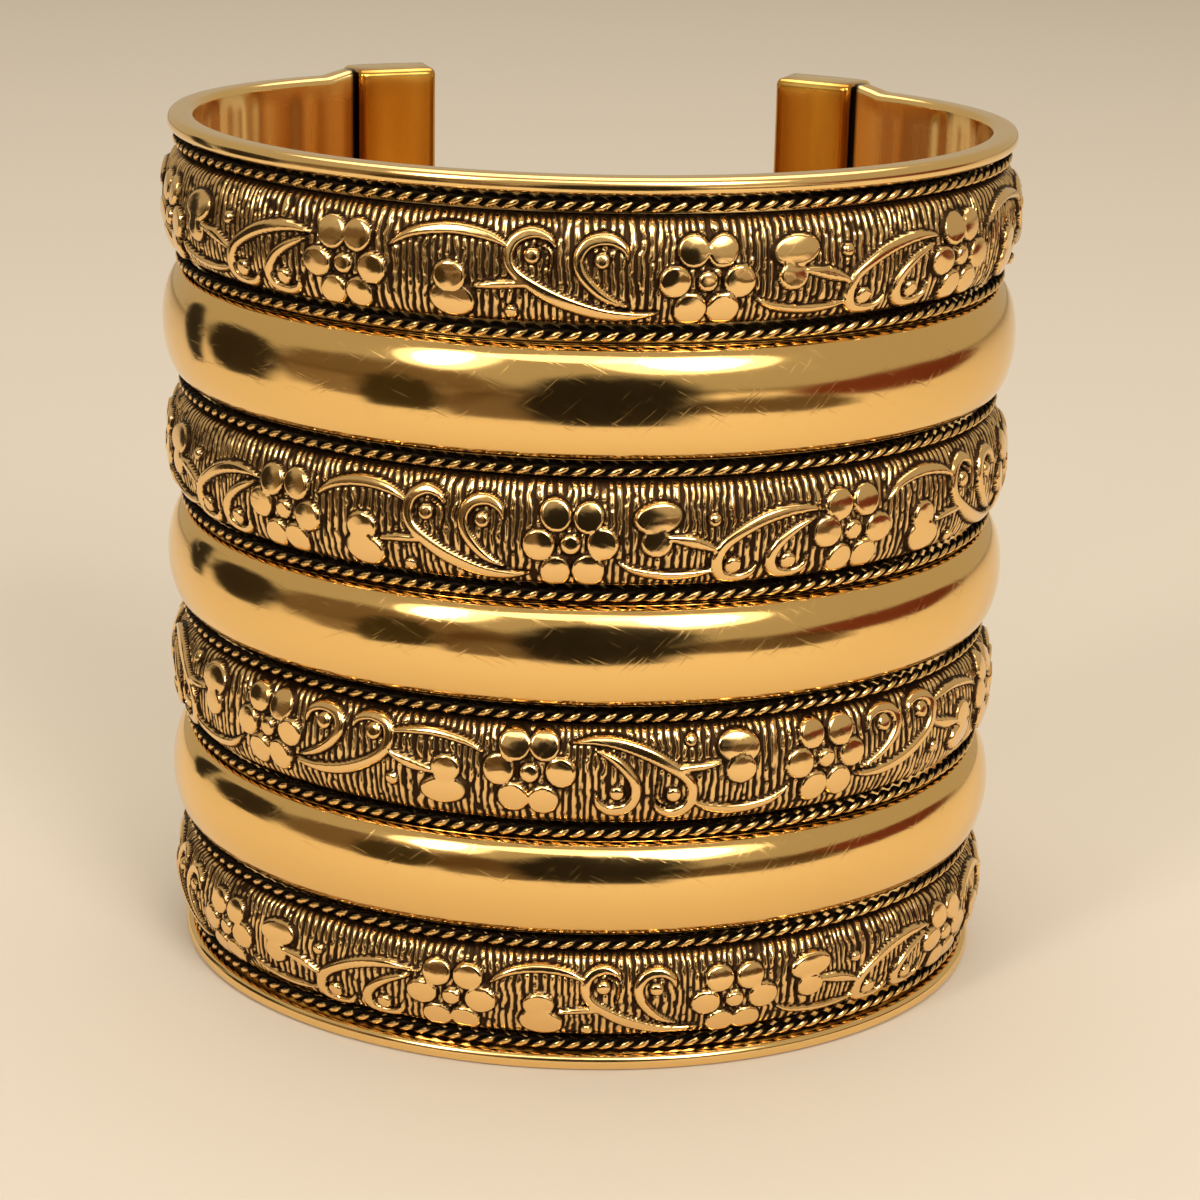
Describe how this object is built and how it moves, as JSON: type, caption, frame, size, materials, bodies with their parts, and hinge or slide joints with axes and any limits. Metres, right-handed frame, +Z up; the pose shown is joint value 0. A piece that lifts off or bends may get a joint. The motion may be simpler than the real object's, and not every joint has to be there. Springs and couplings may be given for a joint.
{
  "type": "cuff bracelet",
  "caption": "Wide open brass cuff bracelet of plain half-round and floral embossed strips, divided by twisted wires, on a liner sheet with box-shaped end caps.",
  "frame": {"origin": "middle of the footprint, on the surface that the bottom rim stands on", "axes": "+Z up along the cuff's axis, +Y towards the gap between the end caps, +X to the right seen from the front"},
  "size_m": [0.0666, 0.0506, 0.068],
  "materials": {
    "polished_brass": "polished, with fine scratches",
    "embossed_brass": "embossed, polished high spots, dark patina in the recesses",
    "patinated_brass": "twisted, polished on top, dark patina between the strands",
    "satin_brass": "smooth satin"
  },
  "bodies": {
    "root": {"liner": "satin_brass", "twisted_wire_1": "patinated_brass", "embossed_band_1": "embossed_brass", "twisted_wire_2": "patinated_brass", "plain_band_1": "polished_brass", "twisted_wire_3": "patinated_brass", "embossed_band_2": "embossed_brass", "twisted_wire_4": "patinated_brass", "plain_band_2": "polished_brass", "twisted_wire_5": "patinated_brass", "embossed_band_3": "embossed_brass", "twisted_wire_6": "patinated_brass", "plain_band_3": "polished_brass", "twisted_wire_7": "patinated_brass", "embossed_band_4": "embossed_brass", "twisted_wire_8": "patinated_brass", "end_cap_left": "polished_brass", "end_cap_right": "polished_brass"}
  },
  "joints": []
}
